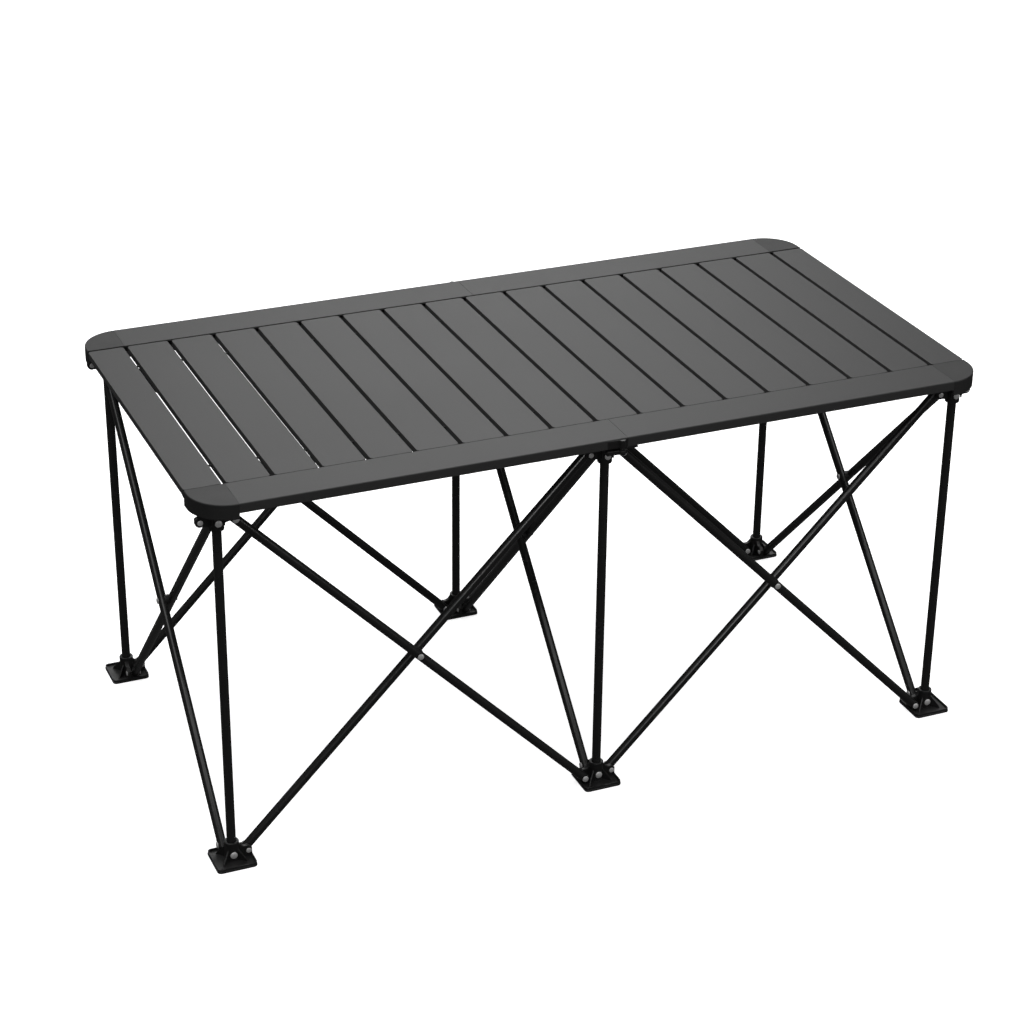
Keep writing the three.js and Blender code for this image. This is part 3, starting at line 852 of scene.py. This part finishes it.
def foot_boss():
    """The boss's wall round the leg's end, as (radius, z) points."""
    return [
        (SOCKET_RADIUS, FOOT_BOSS_BASE_Z), (BOSS_RADIUS, FOOT_BOSS_BASE_Z),
        (BOSS_RADIUS, FOOT_BOSS_Z - 1 * MM), (BOSS_RADIUS - 0.4 * MM, FOOT_BOSS_Z - 0.3 * MM),
        (BOSS_RADIUS - 1 * MM, FOOT_BOSS_Z), (SOCKET_RADIUS + 0.4 * MM, FOOT_BOSS_Z),
        (SOCKET_RADIUS, FOOT_BOSS_Z - 0.4 * MM),
    ]


def add_foot_rim(bm, plan, place):
    """The low wall that stands on the foot's plate, just inside its edge."""
    rim = bmesh.new()
    outline = bmesh.ops.create_circle(rim, cap_ends=False, radius=1, segments=len(plan))["verts"]
    for v, (x, y) in zip(outline, plan):
        v.co = (x * FOOT_RIM_SHARE, y * FOOT_RIM_SHARE, FOOT_THICK - 1 * MM)
    wall = bmesh.ops.extrude_edge_only(rim, edges=rim.edges[:])["geom"]
    raised = [v for v in wall if isinstance(v, bmesh.types.BMVert)]
    bmesh.ops.translate(rim, vec=(0, 0, FOOT_RIM_HEIGHT), verts=raised)
    face_outwards(rim)
    bmesh.ops.solidify(rim, geom=rim.faces[:], thickness=FOOT_RIM_WALL)
    bmesh.ops.translate(rim, vec=place, verts=rim.verts[:])
    merge(bm, rim)


def make_foot(row, column, plastic, zinc):
    place = leg_place(row, column)
    out = OUT[row]
    angles = arm_angles(row, column)
    bm = bmesh.new()
    ys = sorted((out * FOOT_OUTER, -out * FOOT_INNER))
    plan = rounded_plan(-FOOT_HALF, FOOT_HALF, ys[0], ys[1], FOOT_CORNER_RADIUS)
    outline = [(x, y, 0) for x, y in plan]
    way = (0, 0, FOOT_THICK)
    add_plate(bm, outline, way, PLATE_RIM, 3, Matrix.Translation(place))
    add_foot_rim(bm, plan, place)
    add_boss(bm, foot_boss(), place)
    for angle in angles:
        add_lug(bm, 1, foot_profile(), angle, place)
    for angle in (45, 135, 225, 315):
        outline = [(x, -FOOT_RIB_THICK / 2, z) for x, z in FOOT_RIB]
        way = (0, FOOT_RIB_THICK, 0)
        add_plate(bm, outline, way, WEB_RIM, 2, arm_place(angle, place))
    node = f"{row}_{column}_foot"
    piece(node, bm, plastic, f"{row}_{column}_leg", [node])

    rivets = bmesh.new()
    for angle in angles:
        add_rivet(rivets, 1, FOOT_PIN_Z, angle, place)
    screw = place + Vector((0, out * (BOSS_RADIUS - CLEARANCE), FOOT_PIN_Z))
    add_dome(rivets, FOOT_SCREW_RADIUS, FOOT_SCREW_THICK, screw, (0, out, 0))
    piece(f"{node}_rivets", rivets, zinc, f"{row}_{column}_leg")


# ---- legs and braces ----
CATCH_Z = 530 * MM
CATCH_HEAD_RADIUS = 5 * MM
CATCH_HEAD_THICK = 2.3 * MM
LEG_PLUG_THICK = 1.5 * MM
LEG_PLUG_DROP = 1.2 * MM
BRACE_PLUG_RADIUS = TUBE_RADIUS - 0.5 * MM
BRACE_PLUG_THICK = 2.2 * MM
BRACE_PLUG_ROOT = 0.4 * MM
SPACER_RADIUS = 7.2 * MM
SPACER_FACE_RADIUS = 6.6 * MM
SPACER_HALF = 4.5 * MM
SPACER_SHOULDER = 3.6 * MM
LEG_TOP_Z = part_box("front_left_leg")[1].z


def make_leg(row, column, enamel, plastic, zinc):
    place = leg_place(row, column)
    out = OUT[row]
    body = f"{row}_{column}_leg"
    bm = bmesh.new()
    add_tube(bm, TUBE_RADIUS, TUBE_BORE, place + Vector((0, 0, LEG_FOOT_Z)),
             place + Vector((0, 0, LEG_TOP_Z)))
    piece(body, bm, enamel, body, [body])
    catch = bmesh.new()
    wall = out * (TUBE_RADIUS - 1 * MM)
    head = out * (BOSS_RADIUS + 0.1 * MM)
    at = place + Vector((0, 0, CATCH_Z))
    add_pin(catch, RIVET_RADIUS, at + Vector((0, wall, 0)), at + Vector((0, head, 0)))
    add_dome(catch, CATCH_HEAD_RADIUS, CATCH_HEAD_THICK, at + Vector((0, head, 0)), (0, out, 0))
    piece(f"{body}_catch_pin", catch, zinc, body)
    top = bmesh.new()
    at = place + Vector((0, 0, LEG_TOP_Z - LEG_PLUG_DROP))
    add_dome(top, TUBE_BORE, LEG_PLUG_THICK, at, (0, 0, 1))
    piece(f"{body}_top_plug", top, plastic, body)


def brace_line(falls):
    """The two end pins of a brace in a bay from x = 0 to the leg spacing, its leg plane y = 0."""
    y = -BRACE_OFFSET if falls else BRACE_OFFSET
    left_z, right_z = (HUB_PIN_Z, FOOT_PIN_Z) if falls else (FOOT_PIN_Z, HUB_PIN_Z)
    return Vector((ARM_REACH, y, left_z)), Vector((LEG_SPACING - ARM_REACH, y, right_z))


def make_brace(node, falls, placed, enamel, plastic, zinc):
    start, end = brace_line(falls)
    way = (end - start).normalized()
    first, last = start - way * BRACE_OVERHANG, end + way * BRACE_OVERHANG
    bm = bmesh.new()
    add_tube(bm, TUBE_RADIUS, TUBE_BORE, first, last)
    bmesh.ops.transform(bm, matrix=placed, verts=bm.verts[:])
    piece(node, bm, enamel, node, [node])
    plugs = bmesh.new()
    for end_at, outwards in ((first, -way), (last, way)):
        root = end_at - outwards * BRACE_PLUG_ROOT
        add_dome(plugs, BRACE_PLUG_RADIUS, BRACE_PLUG_THICK, root, outwards)
    bmesh.ops.transform(plugs, matrix=placed, verts=plugs.verts[:])
    piece(f"{node}_plugs", plugs, plastic, node)
    if not falls:
        return
    middle = (start + end) / 2
    across = Vector((0, 1, 0))
    face = TUBE_RADIUS - SINK
    rivet = bmesh.new()
    near = Vector((middle.x, -BRACE_OFFSET - face, middle.z))
    far = Vector((middle.x, BRACE_OFFSET + face, middle.z))
    add_pin(rivet, RIVET_RADIUS, near, far)
    add_dome(rivet, RIVET_HEAD_RADIUS, RIVET_HEAD_THICK, near, -across)
    add_dome(rivet, RIVET_TAIL_RADIUS, RIVET_TAIL_THICK, far, across)
    bmesh.ops.transform(rivet, matrix=placed, verts=rivet.verts[:])
    crossing = node.replace("_brace_falling", "_crossing")
    piece(f"{crossing}_rivet", rivet, zinc, node)
    spacer = bmesh.new()
    ring = [
        (RIVET_RADIUS, -SPACER_HALF), (SPACER_FACE_RADIUS, -SPACER_HALF),
        (SPACER_RADIUS, -SPACER_SHOULDER), (SPACER_RADIUS, SPACER_SHOULDER),
        (SPACER_FACE_RADIUS, SPACER_HALF), (RIVET_RADIUS, SPACER_HALF),
    ]
    add_turned(spacer, ring, (middle.x, 0, middle.z), across, 36, closed=True)
    bmesh.ops.transform(spacer, matrix=placed, verts=spacer.verts[:])
    piece(f"{crossing}_spacer", spacer, plastic, node)


def make_braces(enamel, plastic, zinc):
    for row in ROWS:
        for bay in BAYS:
            x = -LEG_SPACING if bay == "left" else 0.0
            placed = Matrix.Translation((x, ROW_Y[row], 0))
            for kind in ("falling", "rising"):
                node = f"{row}_{bay}_brace_{kind}"
                make_brace(node, kind == "falling", placed, enamel, plastic, zinc)
    quarter = Matrix.Rotation(math.radians(-90), 4, "Z")
    for column in COLUMNS:
        placed = Matrix.Translation((COLUMN_X[column], ROW_Y["back"], 0)) @ quarter
        for kind in ("falling", "rising"):
            node = f"cross_{column}_brace_{kind}"
            make_brace(node, kind == "falling", placed, enamel, plastic, zinc)


# ---- stage ----
BACKDROP_RADIUS = 30
FLOOR_DROP = 0.2 * MM
WORLD_STRENGTH = 0.04
STUDIO_LIGHTS = {
    # name: place, target, size, power in watts
    "ceiling": ((-0.1, 0.5, 3.4), (-0.1, 0.5, 0), (6, 6), 170),
    "back_softbox": ((1.4, 3.8, 2.6), (0, 0, 0.5), (2.2, 1.6), 42),
    "front_fill": ((-2.2, -4.2, 2.4), (0, 0, 0.4), (1.2, 1.2), 22),
    "right_fill": ((2.8, -3.2, 1.6), (0.3, 0, 0.5), (1.0, 1.0), 16),
}


def add_light(name, place, target, size, power):
    data = bpy.data.lights.new(name, "AREA")
    data.shape = "RECTANGLE"
    data.size, data.size_y = size
    data.energy = power
    light = bpy.data.objects.new(name, data)
    way = Vector(target) - Vector(place)
    light.rotation_euler = way.to_track_quat("-Z", "Y").to_euler()
    light.location = place
    bpy.context.scene.collection.objects.link(light)


def make_stage():
    """A pale floor that turns up into a backdrop far behind the table, and soft lights."""
    bm = bmesh.new()
    bmesh.ops.create_circle(bm, cap_ends=True, segments=64, radius=BACKDROP_RADIUS)
    rim = bmesh.ops.extrude_edge_only(bm, edges=bm.edges[:])["geom"]
    raised = [v for v in rim if isinstance(v, bmesh.types.BMVert)]
    bmesh.ops.translate(bm, vec=(0, 0, BACKDROP_RADIUS), verts=raised)
    mesh = bpy.data.meshes.new("floor")
    bm.to_mesh(mesh)
    bm.free()
    mesh.materials.append(pale_floor())
    floor = bpy.data.objects.new("floor", mesh)
    floor.location.z = -FLOOR_DROP
    bpy.context.scene.collection.objects.link(floor)
    floor.visible_diffuse = False
    floor.visible_glossy = False

    world = bpy.data.worlds.new("studio")
    world.use_nodes = True
    sky = world.node_tree.nodes["Background"]
    sky.inputs["Color"].default_value = (1, 1, 1, 1)
    sky.inputs["Strength"].default_value = WORLD_STRENGTH
    bpy.context.scene.world = world
    bpy.context.scene.view_settings.view_transform = "Standard"

    for name, settings in STUDIO_LIGHTS.items():
        add_light(name, *settings)


place_camera()
slat_metal = powder_coated_aluminium("slat_powder_coat", 0.052, (1, 0.02, 1))
rail_metal = powder_coated_aluminium("rail_powder_coat", 0.048, (0.02, 1, 1))
tube_enamel = gloss_black_enamel()
cap_plastic = moulded_black("moulded_dark_grey", 0.015, 0.026, 0.55)
black_plastic = moulded_black("moulded_black", 0.008, 0.02, 0.35)
zinc = zinc_plated_steel()
elastic = woven_elastic()

make_top(slat_metal, black_plastic, elastic)
for row in ROWS:
    make_rail(row, "left", -CORNER_SEAM_X, RAIL_SEAM_X - SEAM_GAP / 2, rail_metal)
    make_rail(row, "right", RAIL_SEAM_X + SEAM_GAP / 2, CORNER_SEAM_X, rail_metal)
    make_rail_hinge(row, black_plastic, zinc)
    for side in BAYS:
        make_corner(row, side, cap_plastic)
    for column in COLUMNS:
        make_hub(row, column, black_plastic, zinc)
        make_foot(row, column, black_plastic, zinc)
        make_leg(row, column, tube_enamel, black_plastic, zinc)
make_braces(tube_enamel, black_plastic, zinc)
make_stage()
